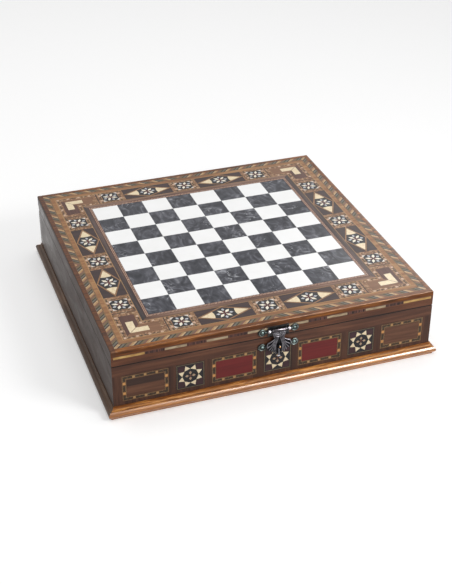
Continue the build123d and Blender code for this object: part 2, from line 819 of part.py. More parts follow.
with BuildPart() as hasp:
    with BuildSketch(hasp_face) as hasp_outline:
        with BuildLine() as half_outline:
            Polyline((0, 0), (hasp_width / 2, 0), neck)
            ThreePointArc(neck, between(neck, waist, 0.5, neck_hollow), waist)
            ThreePointArc(waist, between(waist, shoulder, 0.5, wing_hollow), shoulder)
            ThreePointArc(shoulder, (hasp_span / 2, (-shoulder_drop - wing_drop) / 2), wing_end)
            for step in range(scallops):
                start = between(wing_end, tongue_start, step / scallops)
                end = between(wing_end, tongue_start, (step + 1) / scallops)
                ThreePointArc(start, between(start, end, 0.5, -scallop_depth), end)
            tongue_end = (0, -hasp_length)
            ThreePointArc(tongue_start, between(tongue_start, tongue_end, 0.5, -tongue_round), tongue_end)
            Line(tongue_end, (0, 0))
        make_face()
        mirror(about=Plane.YZ)
        with Locations((0, -catch_drop)):
            SlotOverall(keyhole_length, keyhole_width, rotation=90, mode=Mode.SUBTRACT)
    extrude(amount=hasp_thickness)
    with BuildSketch(hasp_face.offset(hasp_thickness)) as ribs:
        for step in range(flutes):
            share = step / (flutes - 1)
            top = (flute_width + share * (hasp_waist / 2 - 1.5 * flute_width), -waist_drop)
            foot = between(inner_foot, outer_foot, share)
            sway = flute_sway * (2 * share - 1)
            with BuildLine():
                ThreePointArc(top, between(top, foot, 0.5, sway), foot)
            trace(line_width=flute_width)
        mirror(about=Plane.YZ)
    extrude(amount=flute_height)
    with BuildSketch(section_plane(sides["front"])) as barrel:
        with Locations((pin_out, pin_height)):
            Circle(latch_barrel_radius)
    extrude(barrel.sketch, amount=hasp_width / 2, both=True)
    pin_bar(running_fit(latch_pin_radius), hasp_width, Mode.SUBTRACT)
write(hasp, "hasp")
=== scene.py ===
import math

import bmesh
import bpy
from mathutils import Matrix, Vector


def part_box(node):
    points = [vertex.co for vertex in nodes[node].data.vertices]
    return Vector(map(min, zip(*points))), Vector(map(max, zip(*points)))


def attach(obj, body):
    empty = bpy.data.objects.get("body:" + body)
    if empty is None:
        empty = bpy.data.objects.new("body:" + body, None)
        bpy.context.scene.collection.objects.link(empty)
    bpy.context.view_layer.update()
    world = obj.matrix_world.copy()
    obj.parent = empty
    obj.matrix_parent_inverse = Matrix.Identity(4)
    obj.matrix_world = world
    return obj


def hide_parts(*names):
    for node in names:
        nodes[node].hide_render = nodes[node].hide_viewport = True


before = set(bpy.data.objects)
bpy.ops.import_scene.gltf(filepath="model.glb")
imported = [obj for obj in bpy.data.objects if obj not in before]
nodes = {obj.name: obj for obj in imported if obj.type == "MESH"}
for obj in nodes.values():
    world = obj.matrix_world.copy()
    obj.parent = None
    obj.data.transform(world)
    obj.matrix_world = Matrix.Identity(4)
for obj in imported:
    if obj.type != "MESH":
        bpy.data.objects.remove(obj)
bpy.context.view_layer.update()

# ------------ sizes, in metres
MM = 0.001
PROUD = 0.03 * MM  # an inlay stands this far above the piece that it is let into
SUNK = 0.06 * MM  # and reaches this far into it

SQUARE = 25 * MM
TILE = 24.8 * MM  # a star tile on the front
PANEL = 40 * MM  # length of a panel on the front, with its frame
PANEL_FRAME = 3.6 * MM
MEDALLION_PLACES = [-77 * MM, 0, 77 * MM]  # along a side, from its middle
DIAMOND_PLACES = [-38.5 * MM, 38.5 * MM]
DIAMOND = 49 * MM  # length of a diamond tile
ROSETTE = 16 * MM
ROSETTE_CUT = 3.2 * MM  # cut off each corner of the rosette's square
CORNER_ARM = 39 * MM  # length of a corner tile along each side
NOSE_TOP = 7.4 * MM  # top of the round nose of the foot moulding

X, Y, Z = range(3)


def half_width(node):
    """How far a node that is centred on the box reaches from its middle."""
    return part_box(node)[1][X]


def box_middle(node, axis):
    """The middle of a node's box, along one axis."""
    low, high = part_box(node)
    return (low[axis] + high[axis]) / 2


board = half_width("dark_squares")
line = half_width("board_line")
surround = half_width("board_surround")
band = half_width("corner_grounds")
border = half_width("plain_border")
rope = half_width("rope_banding")
case = half_width("lid_lipping")
band_middle = (surround + band) / 2
band_width = band - surround
tile_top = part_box("dark_squares")[1][Z]
front_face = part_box("front_veneer")[0][Y]
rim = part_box("left_wall")[1][Z]
row_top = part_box("star_grounds")[1][Z]
row_middle = box_middle("star_grounds", Z)
star_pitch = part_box("star_grounds")[1][X] - TILE / 2
panel_pitch = star_pitch / 2
STAR_PLACES = [-star_pitch, 0, star_pitch]
RED_PLACES = [-panel_pitch, panel_pitch]
BROWN_PLACES = [-3 * panel_pitch, 3 * panel_pitch]


# ------------ materials
class Paint:
    """A material: one Principled shader and the nodes that feed it."""

    def __init__(self, name, **shader):
        self.material = bpy.data.materials.new(name)
        self.material.use_nodes = True
        self.tree = self.material.node_tree
        self.shader = self.tree.nodes["Principled BSDF"]
        self.where = self.node("ShaderNodeTexCoord").outputs["Object"]
        for socket, value in shader.items():
            self.put(self.shader.inputs[socket.replace("_", " ")], value)

    def put(self, socket, value):
        """Link a node's output to a socket, or set the socket to a number or colour."""
        if isinstance(value, bpy.types.NodeSocket):
            self.tree.links.new(value, socket)
        elif hasattr(socket.default_value, "__len__") and len(socket.default_value) == 4:
            socket.default_value = (*value, 1)
        else:
            socket.default_value = value

    def node(self, kind, inputs=None, **settings):
        """A new node, with what its inputs get and its other settings."""
        made = self.tree.nodes.new(kind)
        for key, value in settings.items():
            setattr(made, key, value)
        for key, value in (inputs or {}).items():
            self.put(made.inputs[key], value)
        return made

    def stretched(self, scale, where=None):
        """Coordinates scaled along each axis, in cells to the metre."""
        place = {"Vector": where or self.where, "Scale": scale}
        return self.node("ShaderNodeMapping", place).outputs[0]

    def noise(self, scale, detail, roughness=0.55, distortion=0.0, where=None):
        feed = {"Vector": self.stretched(scale, where), "Scale": 1.0, "Detail": detail}
        feed |= {"Roughness": roughness, "Distortion": distortion}
        return self.node("ShaderNodeTexNoise", feed).outputs[0]

    def cells(self, scale):
        """A random grey for each small, roughly square cell."""
        feed = {"Vector": self.stretched(scale), "Scale": 1.0}
        colour = self.node("ShaderNodeTexVoronoi", feed, distance="CHEBYCHEV").outputs["Color"]
        return self.node("ShaderNodeSeparateColor", {"Color": colour}).outputs[0]

    def math(self, operation, a, b=0.0):
        return self.node("ShaderNodeMath", {0: a, 1: b}, operation=operation).outputs[0]

    def times(self, a, b):
        return self.math("MULTIPLY", a, b)

    def apart(self, a, b):
        """How far one value is from another."""
        return self.math("ABSOLUTE", self.math("SUBTRACT", a, b))

    def axis(self, name):
        split = self.node("ShaderNodeSeparateXYZ", {"Vector": self.where})
        return split.outputs[name]

    def ramp(self, factor, *stops):
        """Colours by a factor; a stop is (position, colour)."""
        made = self.node("ShaderNodeValToRGB", {"Fac": factor})
        elements = made.color_ramp.elements
        while len(elements) < len(stops):
            elements.new(0.5)
        for element, (position, colour) in zip(elements, stops):
            element.position = position
            element.color = (*colour, 1)
        return made.outputs[0]

    def levels(self, factor, low, high, out_low=0.0, out_high=1.0):
        """A factor from low to high mapped to out_low to out_high, and held past them."""
        feed = {"Value": factor, "From Min": low, "From Max": high}
        feed |= {"To Min": out_low, "To Max": out_high}
        return self.node("ShaderNodeMapRange", feed).outputs[0]

    def mix(self, factor, a, b):
        """Colour a where the factor is 0, and b where it is 1."""
        made = self.node("ShaderNodeMix", data_type="RGBA")
        self.put(made.inputs[0], factor)
        self.put(made.inputs[6], a)
        self.put(made.inputs[7], b)
        return made.outputs[2]

    def colour(self, value):
        self.put(self.shader.inputs["Base Color"], value)

    def rough(self, value):
        self.put(self.shader.inputs["Roughness"], value)

    def bump(self, height, depth):
        feed = {"Height": height, "Distance": depth}
        self.put(self.shader.inputs["Normal"], self.node("ShaderNodeBump", feed).outputs[0])


def fibres(along, fine=900.0, long=22.0):
    """Noise scale for grain that runs along one axis."""
    return tuple(long if axis == along else fine for axis in "xyz")


def wood_colour(paint, along, tones, contrast=1.0, figures=95.0):
    """Broad figure, fine fibres and short pores along one axis; gives (colour, height)."""
    dark, middle, light = tones
    figure = paint.noise(fibres(along, figures, figures / 13), 4, 0.6, 1.2)
    fine = paint.noise(fibres(along), 5, 0.7)
    blend = paint.math("ADD", paint.times(figure, 0.6), paint.times(fine, 0.4))
    spread = 0.16 / contrast
    tone = paint.ramp(blend, (0.5 - spread, dark), (0.5, middle), (0.5 + spread, light))
    pores = paint.noise(fibres(along, 2600.0, 190.0), 1)
    pits = paint.levels(pores, 0.62, 0.7)
    shade = paint.mix(paint.times(pits, 0.45), tone, dark)
    return shade, paint.math("SUBTRACT", fine, pits)


def painted_seam_shade(paint, colour, strength, roughness=None):
    """The colour with painted shade along the joint between lid and case, where a given roughness turns
    dull.
    """
    away = paint.apart(paint.axis("Z"), rim)
    near = paint.levels(away, 0.45 * MM, 0.75 * MM, 1.0, 0.0)
    if roughness is not None:
        paint.rough(paint.levels(near, 0.0, 1.0, roughness, 1.0))
    # near-black painted shade, standing in for the shadow in the gap between lid and case
    return paint.mix(paint.times(near, strength), colour, (0.006, 0.004, 0.003))


VARNISH = {"Roughness": 0.4, "Specular_IOR_Level": 0.22}
SATIN = {"Roughness": 0.48, "Specular_IOR_Level": 0.14}
GRAIN = 0.03 * MM  # depth of the pores
SEAM_SHADE = 0.9  # how strongly the painted shade darkens the brown wood along the joint


def wood(name, along, tones, seam=0.0, **finish):
    """Plain wood; seam is how strongly painted shade darkens it along the joint between lid and case."""
    finish = finish or VARNISH
    paint = Paint(name, **finish)
    colour, height = wood_colour(paint, along, tones)
    if seam:
        # painted shade along the joint between lid and case
        colour = painted_seam_shade(paint, colour, seam, finish["Roughness"])
    paint.colour(colour)
    paint.bump(height, GRAIN)
    return paint.material


# dark, middle and light tone of each wood
WALNUT = ((0.028, 0.010, 0.0057), (0.078, 0.028, 0.014), (0.15, 0.0595, 0.0295))
RAIL = ((0.035, 0.0105, 0.0048), (0.11, 0.0365, 0.0152), (0.21, 0.082, 0.0336))
DARK_VENEER = ((0.024, 0.014, 0.010), (0.045, 0.028, 0.022), (0.075, 0.051, 0.042))
GOLD = ((0.055, 0.011, 0.001), (0.23, 0.066, 0.009), (0.56, 0.24, 0.052))
LIPPING = ((0.03, 0.009, 0.003), (0.135, 0.04, 0.0095), (0.34, 0.12, 0.024))
BORDER = ((0.13, 0.045, 0.016), (0.27, 0.125, 0.05), (0.42, 0.24, 0.1))
SURROUND = ((0.07, 0.032, 0.02), (0.17, 0.092, 0.062), (0.28, 0.18, 0.13))
DARK_SURROUND = ((0.02, 0.013, 0.013), (0.055, 0.035, 0.032), (0.12, 0.08, 0.07))
# darker tones for the left moulding, as painted shade on the side away from the lamps
LEFT_SHADE_TONES = ((0.03, 0.014, 0.007), (0.08, 0.042, 0.023), (0.16, 0.09, 0.052))
CORE = ((0.38, 0.24, 0.12), (0.5, 0.34, 0.19), (0.58, 0.42, 0.26))


def side_veneer():
    """Dark veneer of the left and right, dull near the latch and polished in patches near the hinges."""
    paint = Paint("dark_veneer_y", Specular_IOR_Level=0.3)
    colour, height = wood_colour(paint, "y", DARK_VENEER)
    # painted shade along the joint between lid and case, weaker on these sides
    paint.colour(painted_seam_shade(paint, colour, 0.35))
    mottle = paint.levels(paint.noise((60, 28, 60), 4, 0.6, 1.0), 0.3, 0.7, -0.09, 0.09)
    polish = paint.levels(paint.axis("Y"), -60 * MM, case, 0.58, 0.3)
    paint.rough(paint.math("ADD", polish, mottle))
    paint.bump(height, GRAIN)
    return paint.material


def front_walnut():
    """Grain up and down between the panels, and level in the strip over them."""
    paint = Paint("walnut_front", **VARNISH)
    level, level_height = wood_colour(paint, "x", WALNUT)
    darker = [tuple(0.72 * part for part in tone) for tone in WALNUT]
    upright, upright_height = wood_colour(paint, "z", darker)
    above = paint.levels(paint.axis("Z"), row_top + 0.9 * MM, row_top + 1.1 * MM)
    colour = paint.mix(above, upright, level)
    # painted shade along the joint between lid and case
    paint.colour(painted_seam_shade(paint, colour, SEAM_SHADE, VARNISH["Roughness"]))
    paint.bump(paint.mix(above, upright_height, level_height), GRAIN)
    return paint.material


def lipping_wood():
    """Golden brown on top and in front, darkened at the left by painted shade, and stained like the
    walls on the sides.
    """
    paint = Paint("lipping", Specular_IOR_Level=0.2, Specular_Tint=(1.0, 0.82, 0.65))
    normal = paint.node("ShaderNodeNewGeometry").outputs["Normal"]
    sideways = paint.node("ShaderNodeSeparateXYZ", {"Vector": normal}).outputs["X"]
    stained = paint.levels(paint.math("ABSOLUTE", sideways), 0.55, 0.8)
    top, height = wood_colour(paint, "x", LIPPING, 1.3, 240.0)
    # painted shade: the top is darkened on the left, the side turned away from the lamps
    left_painted_shade = paint.math("LESS_THAN", paint.axis("X"), -rope)
    top = paint.mix(paint.times(left_painted_shade, 0.6), top, (0.07, 0.03, 0.02))
    side, _ = wood_colour(paint, "y", DARK_VENEER)
    paint.colour(paint.mix(stained, top, side))
    paint.rough(paint.levels(stained, 0, 1, 0.28, 0.5))
    paint.bump(height, GRAIN)
    return paint.material


def golden(name, along):
    """Streaky golden varnished wood, polished on the nose, whose colour a painted highlight lightens,
    and satin in the cove over it.
    """
    paint = Paint(name, Specular_IOR_Level=0.3, Specular_Tint=(1.0, 0.72, 0.42), Coat_Roughness=0.3)
    colour, height = wood_colour(paint, along, GOLD, 1.5, 420.0)
    nose = paint.levels(paint.axis("Z"), NOSE_TOP - 0.6 * MM, NOSE_TOP, 1.0, 0.0)
    # painted highlight: the nose's colour is lightened towards a bright gold
    paint.colour(paint.mix(paint.times(nose, 0.45), colour, (0.45, 0.16, 0.03)))
    paint.rough(paint.levels(nose, 0.0, 1.0, 0.55, 0.3))
    paint.put(paint.shader.inputs["Coat Weight"], nose)
    paint.bump(height, 0.04 * MM)
    return paint.material


def surround_wood():
    """Brown strips near the latch and the hinges, near-black ones on the left and right."""
    paint = Paint("surround_wood", **VARNISH)
    out_x = paint.math("ABSOLUTE", paint.axis("X"))
    out_y = paint.math("ABSOLUTE", paint.axis("Y"))
    beside = paint.math("GREATER_THAN", out_x, out_y)
    brown_strip, height = wood_colour(paint, "x", SURROUND, 1.4)
    dark_strip, _ = wood_colour(paint, "y", DARK_SURROUND, 1.4)
    paint.colour(paint.mix(beside, brown_strip, dark_strip))
    paint.bump(height, GRAIN)
    return paint.material


def mosaic(name, brightness, middle):
    """Ground of tiny tan, ochre, pinkish and dark slips, blended a little with a middle tone."""
    paint = Paint(name, **VARNISH)
    slips = paint.cells((620, 620, 620))
    tones = (
        (0.0, (0.06, 0.03, 0.016)),
        (0.22, (0.2, 0.075, 0.04)),
        (0.45, (0.24, 0.14, 0.055)),
        (0.7, (0.42, 0.22, 0.12)),
        (1.0, (0.6, 0.42, 0.26)),
    )
    stops = [(at, tuple(brightness * part for part in tone)) for at, tone in tones]
    tone = paint.ramp(slips, *stops)
    soft = paint.noise((260, 260, 260), 2)
    paint.colour(paint.mix(paint.levels(soft, 0.3, 0.7, 0.15, 0.5), tone, middle))
    paint.bump(slips, 0.02 * MM)
    return paint.material


def dyed(name, dark, light, along="x", streak=0.5):
    """Evenly coloured inlay wood with faint streaks."""
    paint = Paint(name, **VARNISH)
    streaks = paint.noise(fibres(along, 320.0, 16.0), 4, 0.65, 0.8)
    paint.colour(paint.ramp(streaks, (0.5 - streak / 2, dark), (0.5 + streak / 2, light)))
    paint.bump(streaks, 0.02 * MM)
    return paint.material


def bone(name, colour, shade):
    """Cream bone-like inlay, faintly clouded."""
    paint = Paint(name, Roughness=0.3, Specular_IOR_Level=0.3)
    cloud = paint.noise((420, 420, 420), 3, 0.6)
    paint.colour(paint.ramp(cloud, (0.3, shade), (0.65, colour)))
    paint.bump(cloud, 0.015 * MM)
    return paint.material


def light_bars():
    """Bone bars in the lid's front: dim at their edges, yellow at the ends of the row."""
    paint = Paint("strip_bone", Roughness=0.35, Specular_IOR_Level=0.25)
    cloud = paint.noise((150, 420, 420), 3, 0.6)
    pink = paint.ramp(cloud, (0.3, (0.24, 0.16, 0.095)), (0.65, (0.46, 0.36, 0.23)))
    yellow = paint.ramp(cloud, (0.3, (0.34, 0.17, 0.045)), (0.65, (0.6, 0.38, 0.13)))
    out = paint.math("ABSOLUTE", paint.axis("X"))
    tone = paint.mix(paint.levels(out, 108 * MM, 116 * MM), pink, yellow)
    away = paint.apart(paint.axis("Z"), box_middle("dark_strip_bars", Z))
    edge = paint.levels(away, 0.8 * MM, 1.15 * MM)
    paint.colour(paint.mix(paint.times(edge, 0.75), tone, (0.09, 0.045, 0.022)))
    paint.bump(cloud, 0.015 * MM)
    return paint.material


def dark_bars():
    """Reddish-brown bars with fine upright stripes."""
    paint = Paint("strip_brown", **VARNISH)
    stripes = paint.noise((820, 20, 20), 3, 0.6)
    dark, middle, light = (0.012, 0.006, 0.006), (0.05, 0.02, 0.016), (0.13, 0.05, 0.035)
    paint.colour(paint.ramp(stripes, (0.4, dark), (0.5, middle), (0.6, light)))
    paint.bump(stripes, 0.02 * MM)
    return paint.material


def white_square():
    """White, faintly clouded."""
    paint = Paint("white_square", Roughness=0.25, Specular_IOR_Level=0.3)
    cloud = paint.noise((60, 60, 60), 4, 0.6)
    paint.colour(paint.ramp(cloud, (0.3, (0.86, 0.86, 0.85)), (0.7, (0.9, 0.9, 0.9))))
    paint.bump(cloud, 0.01 * MM)
    return paint.material


def marbled_square():
    """Charcoal, clouded and veined pale grey, different in each square."""
    paint = Paint("marbled_square", Roughness=0.25, Specular_IOR_Level=0.22)
    count = (1 / SQUARE, 1 / SQUARE, 1.0)
    cell = paint.node("ShaderNodeVectorMath", {0: paint.stretched(count)}, operation="FLOOR").outputs[0]
    random = paint.node("ShaderNodeTexWhiteNoise", {"Vector": cell}).outputs["Color"]
    away = paint.node("ShaderNodeVectorMath", {0: random, "Scale": 7.0}, operation="SCALE").outputs[0]
    where = paint.node("ShaderNodeVectorMath", {0: paint.where, 1: away}, operation="ADD").outputs[0]
    cloud = paint.noise((72, 44, 72), 4, 0.52, 2.6, where)
    tone = paint.ramp(
        cloud,
        (0.32, (0.02, 0.021, 0.027)),
        (0.5, (0.046, 0.047, 0.058)),
        (0.64, (0.1, 0.102, 0.12)),
        (0.78, (0.24, 0.24, 0.26)),
    )
    line_noise = paint.noise((40, 58, 40), 2, 0.5, 2.4, where)
    vein = paint.levels(paint.apart(line_noise, 0.5), 0.022, 0.0)
    patch = paint.levels(paint.noise((42, 42, 42), 2, 0.5, 0.0, where), 0.55, 0.72)
    paint.colour(paint.mix(paint.times(vein, patch), tone, (0.55, 0.56, 0.6)))
    paint.bump(cloud, 0.01 * MM)
    return paint.material


def velvet():
    """Wine-red velvet: fine pile, with its nap brushed in patches."""
    paint = Paint("velvet", Roughness=0.95, Sheen_Weight=0.8, Sheen_Roughness=0.35)
    paint.put(paint.shader.inputs["Sheen Tint"], (0.9, 0.25, 0.3))
    pile = paint.noise((1800, 1800, 1800), 2, 0.7)
    nap = paint.noise((45, 45, 45), 3, 0.6, 1.0)
    tone = paint.ramp(nap, (0.35, (0.07, 0.006, 0.012)), (0.65, (0.15, 0.014, 0.024)))
    paint.colour(paint.mix(paint.levels(pile, 0.3, 0.7, 0.0, 0.35), tone, (0.03, 0.002, 0.005)))
    paint.bump(pile, 0.12 * MM)
    return paint.material


def metal(name, dark, light, roughness, relief=0.03):
    """Cast or rolled metal, tarnished in patches."""
    paint = Paint(name, Metallic=1.0)
    patches = paint.noise((230, 230, 230), 5, 0.6)
    grit = paint.noise((3200, 3200, 3200), 2)
    paint.colour(paint.ramp(patches, (0.38, dark), (0.62, light)))
    paint.rough(paint.levels(patches, 0.35, 0.65, roughness + 0.14, roughness))
    paint.bump(grit, relief * MM)
    return paint.material


gold_x = golden("golden_x", "x")
gold_y = golden("golden_y", "y")
# painted shade: the left moulding is made dark brown where the other mouldings are golden
left_shade_y = wood("shade_painted_moulding", "y", LEFT_SHADE_TONES)
dark_y = side_veneer()
# these two woods get painted shade along the joint between lid and case
dark_x = wood("dark_veneer_x", "x", DARK_VENEER, seam=0.5, **SATIN)
walnut_x = wood("walnut_x", "x", RAIL, seam=SEAM_SHADE)
walnut_y = wood("walnut_y", "y", WALNUT)
cream = bone("cream_inlay", (0.8, 0.68, 0.47), (0.66, 0.52, 0.32))
cream_white = bone("cream_white", (0.85, 0.79, 0.66), (0.72, 0.64, 0.5))
pearl = bone("pearl_inlay", (0.74, 0.7, 0.64), (0.5, 0.47, 0.43))
grey_bone = bone("grey_bone", (0.56, 0.56, 0.58), (0.36, 0.37, 0.4))
sand = bone("sand_bone", (0.52, 0.36, 0.19), (0.36, 0.23, 0.12))
pinkish = bone("pink_bone", (0.62, 0.44, 0.32), (0.42, 0.27, 0.18))
kite_bone = bone("kite_bone", (0.5, 0.35, 0.22), (0.32, 0.2, 0.13))
ebony = dyed("ebony_inlay", (0.006, 0.006, 0.008), (0.022, 0.02, 0.022))
plum = dyed("plum_inlay", (0.022, 0.012, 0.012), (0.05, 0.026, 0.024))
violet = dyed("violet_inlay", (0.022, 0.008, 0.011), (0.052, 0.021, 0.025))
red = dyed("red_inlay", (0.08, 0.006, 0.006), (0.165, 0.014, 0.013), "x", 0.6)
brown = dyed("brown_inlay", (0.055, 0.02, 0.01), (0.16, 0.068, 0.036))
level_brown = dyed("level_brown_inlay", (0.13, 0.058, 0.028), (0.25, 0.125, 0.066))
dark_brown = dyed("dark_brown_inlay", (0.055, 0.022, 0.016), (0.115, 0.05, 0.036), "y")
umber = dyed("umber_inlay", (0.022, 0.01, 0.007), (0.048, 0.021, 0.013))
tan = dyed("tan_inlay", (0.26, 0.14, 0.055), (0.42, 0.25, 0.11))
orange = dyed("orange_inlay", (0.42, 0.17, 0.05), (0.6, 0.3, 0.1))
crimson = dyed("crimson_inlay", (0.12, 0.01, 0.012), (0.2, 0.02, 0.02))
olive = dyed("olive_inlay", (0.11, 0.075, 0.035), (0.2, 0.14, 0.07))
moss = dyed("moss_inlay", (0.014, 0.015, 0.009), (0.05, 0.046, 0.03))
grey_green = dyed("grey_green_inlay", (0.085, 0.085, 0.062), (0.18, 0.17, 0.13))
mauve = dyed("mauve_inlay", (0.12, 0.05, 0.035), (0.22, 0.11, 0.08))
frame_dark = dyed("frame_dark_inlay", (0.016, 0.013, 0.008), (0.055, 0.042, 0.024))
straw = dyed("straw_inlay", (0.14, 0.08, 0.032), (0.27, 0.165, 0.07))
copper = dyed("copper_inlay", (0.17, 0.078, 0.038), (0.3, 0.15, 0.08))
oxblood = dyed("oxblood_inlay", (0.05, 0.012, 0.008), (0.12, 0.034, 0.022))
russet = dyed("russet_inlay", (0.07, 0.022, 0.014), (0.16, 0.06, 0.04))
ochre = dyed("ochre_inlay", (0.3, 0.16, 0.06), (0.46, 0.28, 0.12))
border_x = wood("border_wood", "x", BORDER)
core_board = wood("core_board", "x", CORE, Roughness=0.6)
tan_mosaic = mosaic("mosaic_tan", 0.85, (0.24, 0.13, 0.065))
frame_mosaic = mosaic("mosaic_dark", 0.3, (0.075, 0.027, 0.012))
pewter = metal("antique_metal", (0.012, 0.012, 0.014), (0.055, 0.055, 0.054), 0.34)
hollow_pewter = metal("hollow_metal", (0.004, 0.004, 0.005), (0.016, 0.016, 0.018), 0.5)
raised_pewter = metal("raised_metal", (0.07, 0.066, 0.074), (0.23, 0.22, 0.238), 0.3)
barrel_pewter = metal("barrel_metal", (0.035, 0.031, 0.035), (0.09, 0.08, 0.086), 0.13)
leaf_pewter = metal("leaf_metal", (0.035, 0.042, 0.04), (0.115, 0.135, 0.127), 0.5)
green_pewter = metal("nail_metal", (0.05, 0.066, 0.064), (0.13, 0.17, 0.162), 0.6)
bright_pewter = metal("worn_metal", (0.3, 0.27, 0.29), (0.62, 0.57, 0.6), 0.18, 0.01)
warm_brass = metal("knob_metal", (0.35, 0.17, 0.06), (0.75, 0.42, 0.2), 0.22, 0.01)
brass = metal("hinge_brass", (0.42, 0.27, 0.09), (0.68, 0.47, 0.19), 0.24, 0.015)

FINISHES = (
    (core_board, ["bottom_panel", "lid_core"]),
    (dark_x, ["front_wall", "back_wall", "lid_back_rail"]),
    (dark_y, ["left_wall", "right_wall", "lid_left_rail", "lid_right_rail"]),
    (gold_x, ["front_moulding", "back_moulding"]),
    (gold_y, ["right_moulding"]),
    (left_shade_y, ["left_moulding"]),
    (walnut_x, ["lid_front_rail"]),
    (walnut_y, ["divider"]),
    (velvet(), ["floor_lining", "wall_lining", "lid_lining"]),
    (front_walnut(), ["front_veneer"]),
    (frame_mosaic, ["panel_frames"]),
    (red, ["red_fields"]),
    (brown, ["brown_fields"]),
    (kite_bone, ["star_kites"]),
    (cream, ["star_points", "rhomb_tips", "corner_chevrons"]),
    (ebony, ["star_grounds", "star_middles", "medallion_rosettes", "rhomb_middles"]),
    (plum, ["diamond_grounds"]),
    (tan_mosaic, ["medallion_grounds", "spacer_strips", "corner_grounds"]),
    (lipping_wood(), ["lid_lipping"]),
    (light_bars(), ["light_strip_bars"]),
    (dark_bars(), ["dark_strip_bars"]),
    (marbled_square(), ["dark_squares"]),
    (white_square(), ["light_squares"]),
    (oxblood, ["board_line"]),
    (surround_wood(), ["board_surround"]),
    (border_x, ["plain_border"]),
    (mauve, ["rope_banding"]),
    (brass, ["hinge_case_leaves", "hinge_case_screws", "hinge_pins"]),
    (brass, ["hinge_lid_leaves", "hinge_lid_screws"]),
    (pewter, ["catch_plate", "catch_plate_nails", "lid_plate", "lid_plate_nails"]),
    (bright_pewter, ["latch_pin"]),
    (hollow_pewter, ["hasp"]),
)
for finish, names in FINISHES:
    for name in names:
        nodes[name].data.materials.clear()
        nodes[name].data.materials.append(finish)


# ------------ thin inlay on the lid and the front
def on_top(u, v, lift):
    return (u, v, tile_top + lift)


def on_front(u, v, lift):
    return (u, front_face - lift, v)


def as_piece(made, name, finish, body, smooth=False):
    """Turn built faces into a piece that rides on a body."""
    bmesh.ops.recalc_face_normals(made, faces=made.faces)
    for face in made.faces:
        face.smooth = smooth
    mesh = bpy.data.meshes.new(name)
    made.to_mesh(mesh)
    made.free()
    piece = bpy.data.objects.new(name, mesh)
    bpy.context.scene.collection.objects.link(piece)
    mesh.materials.append(finish)
    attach(piece, body)
    return piece


def inlay(name, shapes, place, finish, body, lift=PROUD):
    """One piece made of thin flat slips; each shape is a list of the points round it."""
    made = bmesh.new()
    for shape in shapes:
        low = [made.verts.new(place(u, v, -SUNK)) for u, v in shape]
        high = [made.verts.new(place(u, v, lift)) for u, v in shape]
        made.faces.new(high)
        made.faces.new(low[::-1])
        for here in range(len(shape)):
            after = (here + 1) % len(shape)
            made.faces.new((low[here], low[after], high[after], high[here]))
    as_piece(made, name, finish, body)


def rectangle(left, low, right, high):
    return [(left, low), (right, low), (right, high), (left, high)]


def box(u, v, width, height):
    """Rectangle about a middle."""
    return rectangle(u - width / 2, v - height / 2, u + width / 2, v + height / 2)


def swapped(shapes):
    """The shapes with across and up exchanged."""
    return [[(v, u) for u, v in shape] for shape in shapes]


def turned(shape, turn, u=0.0, v=0.0):
    """The shape turned about the origin by some degrees, then moved."""
    c, s = math.cos(math.radians(turn)), math.sin(math.radians(turn))
    return [(u + c * x - s * y, v + s * x + c * y) for x, y in shape]


def moved(shapes, u, v):
    """The shapes moved across and up."""
    return [turned(shape, 0, u, v) for shape in shapes]


def mirrored(shapes):
    """The shapes and their mirror images across the vertical axis."""
    return shapes + [[(-x, y) for x, y in reversed(shape)] for shape in shapes]


def round_about(shapes):
    """The shapes of one side repeated on all four sides."""
    return [turned(shape, turn) for turn in (0, 90, 180, 270) for shape in shapes]


def rhomb(start, end, width, turn):
    """Pointed petal between two distances from the origin, in some direction."""
    middle = (start + end) / 2
    return turned([(start, 0), (middle, -width / 2), (end, 0), (middle, width / 2)], turn)


def petals(start, end, width, first=0.0):
    """Four petals at right angles."""
    return [rhomb(start, end, width, first + turn) for turn in (0, 90, 180, 270)]


def outline(corners, width):
    """Thin mitred slips along a closed convex outline, inside it."""
    count = len(corners)
    inner = []
    for here in range(count):
        before, now, after = (Vector(corners[(here + k) % count]) for k in (-1, 0, 1))
        first, second = (now - before).normalized(), (after - now).normalized()
        bisector = Vector((-first.y - second.y, first.x + second.x))
        inner.append(tuple(now + bisector * width / (1 + first.dot(second))))
    return [[corners[k - 1], corners[k], inner[k], inner[k - 1]] for k in range(count)]


def clipped(shape, limit):
    """The part of a shape that is left of some limit."""
    kept = []
    for here, (x, y) in enumerate(shape):
        before_x, before_y = shape[here - 1]
        if (x <= limit) != (before_x <= limit):
            share = (limit - before_x) / (x - before_x)
            kept.append((limit, before_y + share * (y - before_y)))
        if x <= limit:
            kept.append((x, y))
    return kept


def at_each(shapes, places, v):
    """The shapes repeated along a row."""
    return [shape for place in places for shape in moved(shapes, place, v)]


def upright(shapes, places):
    """Shapes of a top tile, all the same way up, at each of its places on the four sides."""
    middles = [(place, -band_middle) for place in places]
    return [
        shape
        for turn in (0, 90, 180, 270)
        for u, v in turned(middles, turn)
        for shape in moved(shapes, u, v)
    ]


def in_corners(shapes):
    """The shapes of the left corner by the latch, repeated in all four corners."""
    back = [[(x, -y) for x, y in shape] for shape in shapes]
    return mirrored(shapes + back)


def front_inlay(name, shapes, finish):
    inlay(name, shapes, on_front, finish, "case")


def lid_inlay(name, shapes, finish, lift=PROUD):
    inlay(name, shapes, on_top, finish, "lid", lift)


def side_inlay(name, shapes, finish, lift=PROUD):
    """Inlay of the lid's top, given for the side nearest the latch and repeated on all four."""
    lid_inlay(name, round_about(shapes), finish, lift)


